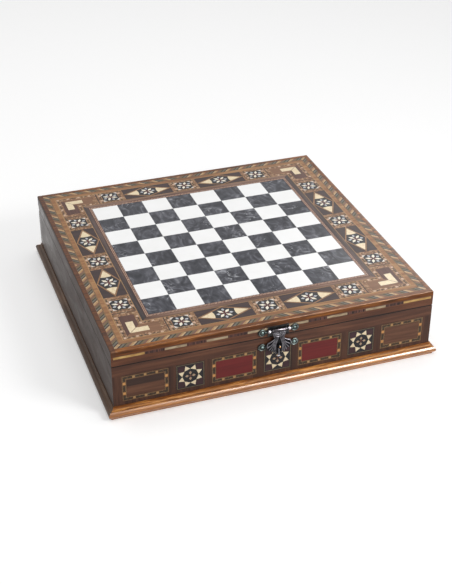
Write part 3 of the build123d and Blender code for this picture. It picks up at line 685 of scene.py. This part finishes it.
# eight petals, of which every second is smaller and greyer, round a red heart
PETAL_TURN = 22.5  # degrees, of the rosettes in the medallions
large_petals = petals(1.0 * MM, 7.5 * MM, 3.1 * MM, 45)
small_petals = petals(3.7 * MM, 7.7 * MM, 2.7 * MM)
heart = petals(0.9 * MM, 4.0 * MM, 1.1 * MM)
heart += [turned(box(0, 0, 1.2 * MM, 1.2 * MM), 45)]

# medallion tiles: the rosette, and columns and rows of squares and dashes round it
COLUMN = 9.6 * MM  # from the middle of a tile
DASH_ROW = 9.7 * MM
rosette_corner = [
    (ROSETTE / 2, ROSETTE / 2 - ROSETTE_CUT),
    (ROSETTE / 2, ROSETTE / 2),
    (ROSETTE / 2 - ROSETTE_CUT, ROSETTE / 2),
]
column_dots = [box(-COLUMN, v * MM, 2.1 * MM, 2.5 * MM) for v in (-5.2, 5.2)]
column_dashes = [box(-COLUMN, v * MM, 1.3 * MM, 1.5 * MM) for v in (-10, -8, 8, 10)]
column_dashes += [box(-COLUMN, v * MM, 1.3 * MM, 2.2 * MM) for v in (-1.6, 1.6)]
row_dashes = [box(u * MM, v, 2.6 * MM, 0.8 * MM) for v in (-DASH_ROW, DASH_ROW) for u in (-5.4, -1.8)]
for name, shapes, turn, finish, slot in (
    ("petals", large_petals, PETAL_TURN, cream_white, "cream_inlay"),
    ("small_petals", small_petals, PETAL_TURN, grey_bone, "cream_inlay"),
    ("hearts", heart, PETAL_TURN, crimson, "red_inlay"),
    ("corners", round_about([rosette_corner]), 0, pearl, "cream_inlay"),
    ("dots", mirrored(column_dots), 0, pinkish, "cream_inlay"),
    ("dashes", mirrored(column_dashes + row_dashes), 0, moss, "ebony_inlay"),
):
    shapes = [turned(shape, turn) for shape in shapes]
    lid_inlay(f"medallion_{name}", upright(shapes, MEDALLION_PLACES), finish)

# diamond tiles: two lines along the diamond's edges, bulging ends of its tips, and the rosette
EDGE = 0.15 * MM  # between the diamond's points and the edges of the tile
TIP_INSET = 1.6 * MM  # between the diamond's edge and its cream tips
TIP_START, TIP_BULGE = 10 * MM, 0.9 * MM
rhomb_length, rhomb_height = DIAMOND / 2 - EDGE, band_width / 2 - EDGE
rhomb_corners = [(-rhomb_length, 0), (0, -rhomb_height), (rhomb_length, 0), (0, rhomb_height)]
tip_base = (rhomb_height - TIP_INSET) * (1 - TIP_START / rhomb_length)
bulge = [(-TIP_START - 0.1 * MM, tip_base), (-TIP_START + 0.75 * TIP_BULGE, tip_base / 2)]
bulge += [(-TIP_START + TIP_BULGE, 0), *((x, -y) for x, y in reversed(bulge))]
for name, shapes, finish, slot, lift in (
    ("outlines", outline(rhomb_corners, 1.25 * MM), copper, "mosaic_tan", PROUD),
    ("lines", outline(rhomb_corners, 0.4 * MM), tan, "mosaic_tan", 2 * PROUD),
    ("bulges", mirrored([bulge]), cream, "cream_inlay", PROUD),
    ("petals", large_petals, cream_white, "cream_inlay", PROUD),
    ("small_petals", small_petals, grey_bone, "cream_inlay", PROUD),
    ("hearts", heart, crimson, "red_inlay", PROUD),
):
    side_inlay(f"diamond_{name}", at_each(shapes, DIAMOND_PLACES, -band_middle), finish, lift)


def mitred(outer, inner, end):
    """A strip along the front, mitred at the left corner; all distances are from the middle."""
    return [(-outer, -outer), (-end, -outer), (-end, -inner), (-inner, -inner)]


# corner tiles: brown fields round the cream chevron, and the glue line in its mitre
FIELD_INSET = 4.3 * MM  # between the tile's edge and its fields
CHEVRON_WIDTH = 6.6 * MM
CHEVRON_LENGTH = 17 * MM
GLUE = 0.35 * MM
field_outer = band - FIELD_INSET
field_inner = surround + FIELD_INSET
field_end = band - CORNER_ARM + FIELD_INSET
chevron = half_width("corner_chevrons")
chevron_inner = chevron - CHEVRON_WIDTH
chevron_end = chevron - CHEVRON_LENGTH
level_field = [
    mitred(field_outer, chevron, field_end),
    rectangle(-chevron_end, -chevron, -field_end, -field_inner),
    mitred(chevron_inner, field_inner, chevron_end),
]
mitre_line = [
    (-chevron, -chevron),
    (-chevron + GLUE, -chevron),
    (-chevron_inner, -chevron_inner - GLUE),
    (-chevron_inner, -chevron_inner),
    (-chevron_inner - GLUE, -chevron_inner),
    (-chevron, -chevron + GLUE),
]
lid_inlay("corner_fields_level", in_corners(level_field), level_brown)
lid_inlay("corner_fields_upright", in_corners(swapped(level_field)), dark_brown)
lid_inlay("chevron_mitres", in_corners([mitre_line]), mauve)

# squares and dashes in turn along the outer and inner edges of each corner tile
ROW = 1.75 * MM  # from the edge of the tile to its row
PERIOD = 10.6 * MM  # from square to square
DOT = 2.2 * MM
DASH_LENGTH, DASH_WIDTH = 2.5 * MM, 1.0 * MM
corner_dots, dots, dashes = [], [], []
for at, first, count in ((band - ROW, ROW, 4), (surround + ROW, band_width - ROW, 2)):
    corner_dots.append(box(first - band, -at, DOT, DOT))
    for step in range(1, count):
        x = first - band + step * PERIOD
        dots.append(box(x, -at, DOT, DOT))
        dashes += [box(x - share * PERIOD, -at, DASH_LENGTH, DASH_WIDTH) for share in (0.33, 0.67)]
corner_dots += dots + swapped(dots)
lid_inlay("corner_dashes", in_corners(dashes + swapped(dashes)), frame_dark)
lid_inlay("corner_dots", in_corners(corner_dots), pinkish)

# rope banding: slanted strips that lean towards the corners
ROPE = (  # name, finish, and pitch in millimetres
    ("sand", sand, 2.2),
    ("plum", plum, 1.5),
    ("grey", grey_green, 2.3),
    ("moss", moss, 1.6),
    ("olive", olive, 2.4),
    ("mauve", mauve, 2.1),
    ("ochre", ochre, 1.9),
)
ROPE_MARGIN = 0.2 * MM
ROPE_FILL = 0.9  # share of the pitch that a strip takes
rope_low, rope_high = -rope + ROPE_MARGIN, -border - ROPE_MARGIN
strips = {name: [] for name, _, _ in ROPE}
place = -rope
while place < 0:
    for name, _, pitch in ROPE:
        slip = [(place, rope_low), (place + ROPE_FILL * pitch * MM, rope_low)]
        slip += [(x + rope_high - rope_low, rope_high) for x, _ in reversed(slip)]
        slip = clipped(slip, 0.0)
        if len(slip) > 2:
            strips[name].append(slip)
        place += pitch * MM
for name, finish, _ in ROPE:
    side_inlay(f"rope_{name}", mirrored(strips[name]), finish)


def ring(outer, width):
    """One side of a mitred ring: its outer edge's distance from the middle, and its width."""
    inner = outer - width
    return [(-outer, -outer), (outer, -outer), (inner, -inner), (-inner, -inner)]


# pale twisted line round the board: two strands, cut by slanting strokes
TWIST_STEP, TWIST_LEAN = 3.2 * MM, 1.6 * MM
TWIST_MARGIN, CUT = 0.35 * MM, 0.4 * MM
strands = [ring(board + at * MM, 0.55 * MM) for at in (1.2, 2.5)]
side_inlay("line_strands", strands, pinkish)
twist_low, twist_high = -line + TWIST_MARGIN, -board - TWIST_MARGIN
cuts = []
for step in range(int((2 * board - TWIST_STEP) / TWIST_STEP)):
    x = -board + (step + 0.7) * TWIST_STEP
    low = [(x, twist_low), (x + CUT, twist_low)]
    cuts.append(low + [(x + CUT + TWIST_LEAN, twist_high), (x + TWIST_LEAN, twist_high)])
side_inlay("line_cuts", cuts, oxblood, 2 * PROUD)

# thin lines beside the dark strip and the plain border, and between corner tiles and medallions
for name, at, width, finish in (
    ("line_tiles", surround + 0.3 * MM, 0.55 * MM, tan),
    ("line_inner", band + 0.75 * MM, 0.6 * MM, ochre),
    ("line_outer", border - 0.15 * MM, 0.6 * MM, olive),
):
    side_inlay(name, [ring(at, width)], finish)
spacer = box(band - CORNER_ARM - 1 * MM, -band_middle, 0.9 * MM, band_width - 1 * MM)
side_inlay("line_spacers", mirrored([spacer]), plum)

# star tiles on the front: an outline, a heart, and a corner piece between the points at each corner
STAR_TIP, STAR_ROOT = 11.2 * MM, 7.2 * MM  # from the middle to a point's tip and foot
STAR_EDGE = 10.85 * MM  # from the middle to the outer edges of the corner pieces
CLEAR = 0.15 * MM  # between the points and the corner pieces
TIP_TURN = math.radians(22.5)
tip = STAR_TIP * math.cos(TIP_TURN) + CLEAR
beside_tip = STAR_TIP * math.sin(TIP_TURN) + 2 * CLEAR
root = STAR_ROOT * math.sqrt(0.5) + CLEAR
star_corner = [
    (root, root),
    (tip, beside_tip),
    (STAR_EDGE, beside_tip),
    (STAR_EDGE, STAR_EDGE),
    (beside_tip, STAR_EDGE),
    (beside_tip, tip),
]
star_frame = outline(box(0, 0, TILE - 0.9 * MM, TILE - 0.9 * MM), 0.45 * MM)
star_heart = turned(box(0, 0, 1.7 * MM, 1.7 * MM), 45)
for name, shapes, finish, slot in (
    ("star_outlines", star_frame, olive, "mosaic_tan"),
    ("star_corners", round_about([star_corner]), violet, "plum_inlay"),
    ("star_hearts", [star_heart], russet, "red_inlay"),
):
    front_inlay(name, at_each(shapes, STAR_PLACES, row_middle), finish)

# dashed frames of the panels: squares and dashes in turn, between two thin lines
LINE = 0.38 * MM
frame_row = TILE / 2 - PANEL_FRAME / 2
frame_column = PANEL / 2 - PANEL_FRAME / 2
rows, columns = (-frame_row, frame_row), (-frame_column, frame_column)
row_places = (-17.2, -13.5, -6.8, -3.2, 3.2, 6.8, 13.5, 17.2)
frame_dashes = [box(u * MM, row, 2.9 * MM, 1.25 * MM) for row in rows for u in row_places]
frame_dashes += [
    box(column, v * MM, 1.2 * MM, length * MM)
    for column in columns
    for v, length in ((-8.7, 2.8), (0, 5.0), (8.7, 2.8))
]
frame_dots = [box(u * MM, row, 2.1 * MM, 2.1 * MM) for row in rows for u in (-10, 0, 10)]
side_dots = [box(column, v * MM, 2.3 * MM, 2.6 * MM) for column in columns for v in (-5, 5)]
frame_lines = outline(box(0, 0, PANEL - 0.3 * MM, TILE - 0.3 * MM), LINE)
frame_lines += outline(box(0, 0, PANEL - 6.0 * MM, TILE - 6.0 * MM), LINE)
for name, shapes, finish, slot in (
    ("dashes", frame_dashes, frame_dark, "ebony_inlay"),
    ("dots", frame_dots, ochre, "cream_inlay"),
    ("side_dots", side_dots, orange, "cream_inlay"),
    ("lines", frame_lines, straw, "mosaic_tan"),
):
    front_inlay(f"frame_{name}", at_each(shapes, BROWN_PLACES + RED_PLACES, row_middle), finish)

# the left panel's field is darker in its upper part
field_width = PANEL - 2 * PANEL_FRAME - 0.6 * MM
field_height = TILE - 2 * PANEL_FRAME - 0.6 * MM
upper = box(BROWN_PLACES[0], row_middle + 0.3 * field_height, field_width, 0.4 * field_height)
front_inlay("field_upper", [upper], umber)


# ------------ relief of the latch
PIN_HEIGHT = box_middle("latch_pin", Z)
PIN_OUT = -box_middle("latch_pin", Y)
LID_PLATE_HEIGHT = PIN_HEIGHT - 1.5 * MM
CATCH_HEIGHT = box_middle("catch_plate", Z)
CATCH_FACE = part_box("catch_plate")[0][Y]  # the front of its bead
HASP_FACE = PIN_OUT - 0.5 * MM  # how far out the flat front of the hasp is
PLATE_FACE = case + 0.8 * MM
TAPER = 0.35  # size of a bead's ends, as a share of the size that its run gives
BURIED = 0.4  # how far a bead reaches into its face, as a share of its height


def soft(p, q, r, s, t):
    """A share t of the way from q to r, on a smooth curve that comes from p and goes on to s."""
    value = 2 * q + (r - p) * t
    value += (2 * p - 5 * q + 4 * r - s) * t**2
    value += (3 * q - p - 3 * r + s) * t**3
    return value / 2


def smooth_runs(runs, steps=6):
    """Runs of (across, up, half width) in millimetres, turned into soft curves in metres."""
    smooth = []
    for run in runs:
        ends = [run[0], *run, run[-1]]
        points = []
        for a, b, c, d in zip(ends, ends[1:], ends[2:], ends[3:]):
            for step in range(steps):
                points.append([soft(*four, step / steps) for four in zip(a, b, c, d)])
        smooth.append([[part * MM for part in point] for point in (*points, run[-1])])
    return smooth


def both_sides(runs):
    return runs + [[(-u, v, half) for u, v, half in run] for run in runs]


def circle(sides):
    """Cosines and sines of evenly spaced turns."""
    turns = [2 * math.pi * side / sides for side in range(sides)]
    return [(math.cos(turn), math.sin(turn)) for turn in turns]


def skin(made, rings):
    """Faces between each ring of points and the next; a ring of one point is a tip."""
    sides = max(len(ring) for ring in rings)
    for a, b in zip(rings, rings[1:]):
        for side in range(sides):
            after = (side + 1) % sides
            corners = (a[side % len(a)], a[after % len(a)], b[after % len(b)], b[side % len(b)])
            made.faces.new(dict.fromkeys(corners))


def beading(name, runs, face, middle_height, height, finish, body, sides=8):
    """Rounded beads with tapered ends on an upright face, along runs from smooth_runs."""
    made = bmesh.new()
    for run in runs:
        rings = []
        for here, (u, v, half) in enumerate(run):
            before, after = run[max(here - 1, 0)], run[min(here + 1, len(run) - 1)]
            along = Vector((after[0] - before[0], after[1] - before[1])).normalized()
            share = TAPER if here in (0, len(run) - 1) else 1.0
            ring = []
            for cosine, sine in circle(sides):
                out = half * share * cosine
                rise = height * share * max(sine, -BURIED)
                place = (u - along.y * out, -face - rise, middle_height + v + along.x * out)
                ring.append(made.verts.new(place))
            rings.append(ring)
        skin(made, rings)
        made.faces.new(rings[0][::-1])
        made.faces.new(rings[-1])
    as_piece(made, name, finish, body, smooth=True)


def lathe(name, profile, place, finish, body, sides=24):
    """A turned piece; its profile is a list of (along, radius), with no radius at either end."""
    made = bmesh.new()
    rings = []
    for along, radius in profile:
        ring = circle(sides) if radius else [(0, 0)]
        points = [place(along, radius * cosine, radius * sine) for cosine, sine in ring]
        rings.append([made.verts.new(point) for point in points])
    skin(made, rings)
    return as_piece(made, name, finish, body, smooth=True)


def ball(centre, radius, steps=12):
    """Profile of a ball, from pole to pole."""
    turns = [math.pi * step / steps for step in range(1, steps)]
    ring = [(centre - radius * math.cos(turn), radius * math.sin(turn)) for turn in turns]
    return [(centre - radius, 0), *ring, (centre + radius, 0)]


def symmetric(left):
    """A whole profile, from its left half."""
    return left + [(-x, radius) for x, radius in reversed(left)]


# ribs that fan out from the barrel over the waist to the scalloped edge of the wings
RIB_FEET = ((2.7, -24.0), (4.8, -23.0), (7.0, -21.5), (9.1, -19.4), (10.6, -16.3))
ribs = []
for rib, foot in enumerate(RIB_FEET):
    share = rib / (len(RIB_FEET) - 1)
    waist = (0.85 + 2.95 * share, -8.2)
    half_way = ((waist[0] + foot[0]) / 2, (waist[1] + foot[1]) / 2)
    sway = 2.0 * share - 1.0  # the inner ribs bow outwards, the outer ones inwards
    neck = [(0.7 + 4.9 * share, -1.9, 0.4), (0.75 + 3.9 * share, -5.0, 0.32)]
    belly = (half_way[0] - 1.3 * sway, half_way[1] - 0.9 * sway, 0.46)
    ribs.append([*neck, (*waist, 0.29), belly, (*foot, 0.56)])
ribs = both_sides(smooth_runs(ribs))
beading("hasp_ribs", ribs, HASP_FACE, PIN_HEIGHT, 0.72 * MM, raised_pewter, "hasp")


def bow(half, top):
    """A line that hangs across the neck between two points at one height."""
    side = [(-half, top, 0.2), (-0.6 * half, top - 1.3, 0.24)]
    return [*side, (0, top - 2.0, 0.28), *((-u, v, width) for u, v, width in reversed(side))]


# raised rims of the wings and the neck, two bows across the neck, and the drop on the tongue
wing_rim = [(4.0, -8.6, 0.3), (5.6, -9.9, 0.42), (8.0, -11.3, 0.5)]
wing_rim += [(10.0, -12.2, 0.5), (10.8, -14.8, 0.4), (9.9, -17.4, 0.3)]
neck_rim = [(5.9, -1.8, 0.22), (5.2, -4.5, 0.24), (4.1, -8.0, 0.26)]
drop = [
    [(0, -19.3, 0.3), (0, -20.6, 0.75), (0, -21.9, 0.35)],
    [(0, -21.6, 0.4), (0, -23.8, 1.05), (0, -26.2, 0.6)],
    [(-1.5, -26.1, 0.35), (0, -26.6, 0.75), (1.5, -26.1, 0.35)],
]
rims = both_sides(smooth_runs([wing_rim, neck_rim]))
rims += smooth_runs([bow(5.0, -2.2), bow(4.2, -4.4), *drop])
beading("hasp_rims", rims, HASP_FACE, PIN_HEIGHT, 0.8 * MM, raised_pewter, "hasp")


def on_pin(along, out, up):
    return (along, -PIN_OUT + out, PIN_HEIGHT + up)


# barrel of the hasp, with a ring at each end
BARREL_HALF, BARREL_RADIUS = 6.3 * MM, 1.2 * MM
RING_RADIUS = 1.36 * MM
barrel = [
    (-BARREL_HALF, 0),
    (-BARREL_HALF, BARREL_RADIUS),
    (-BARREL_HALF + 0.2 * MM, RING_RADIUS),
    (-BARREL_HALF + 0.7 * MM, RING_RADIUS),
    (-BARREL_HALF + 0.9 * MM, BARREL_RADIUS),
    (-BARREL_HALF + 1.1 * MM, 1.32 * MM),
]
lathe("hasp_barrel", symmetric(barrel), on_pin, barrel_pewter, "hasp")

# smooth pin with a ball at each end, in place of the plain one
BAR, BALL = 0.6 * MM, 1.5 * MM
ball_place = half_width("latch_pin") - BALL
reach = ball_place - math.sqrt(BALL**2 - BAR**2)  # where the bar enters the ball
left_ball = [(x, radius) for x, radius in ball(-ball_place, BALL) if x < -reach - 0.05 * MM]
pin = symmetric([*left_ball, (-reach, BAR)])
smooth_pin = lathe("latch_pin_smooth", pin, on_pin, bright_pewter, "lid")
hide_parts("latch_pin")


def on_catch(along, across, up):
    return (across, CATCH_FACE + along, CATCH_HEIGHT + up)


# brass knob of the catch, seen through the hasp
KNOB = 1.0 * MM
lathe("catch_knob", ball(0.9 * KNOB, KNOB), on_catch, warm_brass, "case", 20)

# leaves at the ends of both plates: rolled edges, a rib down the middle and a curled tip
leaf_edge = [(11.6, 0.4, 0.25), (13.0, 2.2, 0.4), (14.8, 2.9, 0.5), (16.6, 2.0, 0.45), (18.0, 0.3, 0.25)]
leaves = [
    leaf_edge,
    [(u, -v, half) for u, v, half in leaf_edge],
    [(9.6, 0.0, 0.3), (11.4, 0.0, 0.5), (12.6, 0.0, 0.3)],
    [(16.4, 0.9, 0.2), (17.2, 0.2, 0.35), (17.3, -0.5, 0.2)],
]
leaves = both_sides(smooth_runs(leaves))
LEAF_RISE = 0.55 * MM
beading("lid_plate_curls", leaves, PLATE_FACE, LID_PLATE_HEIGHT, LEAF_RISE, leaf_pewter, "lid")
beading("catch_plate_curls", leaves, PLATE_FACE, CATCH_HEIGHT, LEAF_RISE, leaf_pewter, "case")

# domed heads of the nails; the profile is (out, radius) in millimetres
NAIL_PLACE = 14.5 * MM
DOME = ((0, 0), (0, 1.4), (0.3, 1.32), (0.55, 1.1), (0.72, 0.75), (0.82, 0.35), (0.84, 0))
dome = [(out * MM, radius * MM) for out, radius in DOME]


def on_plate(nail, height):
    """Gives the function that places a nail's dome on a plate."""
    return lambda out, across, up: (nail + across, -PLATE_FACE - out, height + up)


for name, height, body in (
    ("lid_nail_domes", LID_PLATE_HEIGHT, "lid"),
    ("catch_nail_domes", CATCH_HEIGHT, "case"),
):
    for side, nail in (("left", -NAIL_PLACE), ("right", NAIL_PLACE)):
        lathe(f"{name}_{side}", dome, on_plate(nail, height), green_pewter, body, 20)


# ------------ stage, light and camera
def seen(tree):
    """1 for rays from the camera, reflections and glass, and 0 for light that falls on things."""
    path = tree.nodes.new("ShaderNodeLightPath")
    rays = path.outputs["Is Camera Ray"]
    for kind in ("Is Glossy Ray", "Is Transmission Ray"):
        either = tree.nodes.new("ShaderNodeMath")
        either.operation = "MAXIMUM"
        tree.links.new(rays, either.inputs[0])
        tree.links.new(path.outputs[kind], either.inputs[1])
        rays = either.outputs[0]
    return rays


def stage_material(grey, glow):
    """Pale matt paint that the camera and reflections see brighter than it lights the object."""
    made = bpy.data.materials.new("stage_white")
    made.use_nodes = True
    tree = made.node_tree
    tree.nodes.clear()
    output = tree.nodes.new("ShaderNodeOutputMaterial")
    matt = tree.nodes.new("ShaderNodeBsdfDiffuse")
    matt.inputs["Color"].default_value = (grey, grey, grey, 1)
    shine = tree.nodes.new("ShaderNodeEmission")
    strength = tree.nodes.new("ShaderNodeMath")
    strength.operation = "MULTIPLY"
    strength.inputs[1].default_value = glow
    tree.links.new(seen(tree), strength.inputs[0])
    tree.links.new(strength.outputs[0], shine.inputs["Strength"])
    both = tree.nodes.new("ShaderNodeAddShader")
    tree.links.new(matt.outputs[0], both.inputs[0])
    tree.links.new(shine.outputs[0], both.inputs[1])
    tree.links.new(both.outputs[0], output.inputs["Surface"])
    return made


def floor(reach=6.0):
    mesh = bpy.data.meshes.new("floor")
    corners = [(x, y, 0) for x, y in rectangle(-reach, -reach, reach, reach)]
    mesh.from_pydata(corners, [], [(0, 1, 2, 3)])
    made = bpy.data.objects.new("floor", mesh)
    mesh.materials.append(stage_material(0.8, 0.25))
    bpy.context.scene.collection.objects.link(made)


def surroundings(ambient):
    """White to the camera and to reflections, a soft grey light for the rest."""
    world = bpy.data.worlds.new("studio")
    bpy.context.scene.world = world
    world.use_nodes = True
    tree = world.node_tree
    background = tree.nodes["Background"]
    level = tree.nodes.new("ShaderNodeMapRange")
    level.inputs["To Min"].default_value = ambient
    level.inputs["To Max"].default_value = 1.0
    tree.links.new(seen(tree), level.inputs["Value"])
    tree.links.new(level.outputs[0], background.inputs["Strength"])
    background.inputs["Color"].default_value = (1, 1, 1, 1)


AIM = Vector((0, 0, 0.03))  # what the lamps face


def softbox(name, direction, distance, width, height, power, only_shine=False):
    """A lamp that faces the middle of the box; with only_shine, it shows only in gloss."""
    lamp = bpy.data.lights.new(name, "AREA")
    lamp.shape = "RECTANGLE"
    lamp.size, lamp.size_y = width, height
    lamp.energy = power
    made = bpy.data.objects.new(name, lamp)
    made.location = AIM + Vector(direction).normalized() * distance
    made.rotation_euler = (AIM - made.location).to_track_quat("-Z", "Y").to_euler()
    made.visible_diffuse = not only_shine
    bpy.context.scene.collection.objects.link(made)


CAMERA_PLACE = (-0.3184, -0.9288, 0.6203)
CAMERA_AZIMUTH, CAMERA_ELEVATION = 19.13, 31.97  # degrees, where it looks
CAMERA_LENS, SENSOR = 74.4, 36  # millimetres; the sensor is along the picture's long side


def camera():
    data = bpy.data.cameras.new("camera")
    data.sensor_width = SENSOR
    data.lens = CAMERA_LENS
    made = bpy.data.objects.new("camera", data)
    made.location = CAMERA_PLACE
    made.rotation_euler = (math.radians(90 - CAMERA_ELEVATION), 0, math.radians(-CAMERA_AZIMUTH))
    bpy.context.scene.collection.objects.link(made)
    bpy.context.scene.camera = made


floor()
surroundings(ambient=0.47)
softbox("overhead", (-0.1, 0.2, 1.0), 1.6, width=1.4, height=1.4, power=11)
softbox("front_right", (0.46, -0.72, 0.6), 1.1, width=0.34, height=0.32, power=5)
softbox("nose_shine", (0.54, -0.64, 0.66), 1.1, width=0.3, height=1.4, power=52, only_shine=True)
softbox("edge_shine", (0.56, 0.67, 0.45), 1.5, width=0.4, height=0.5, power=3, only_shine=True)
camera()
bpy.context.scene.view_settings.view_transform = "Standard"
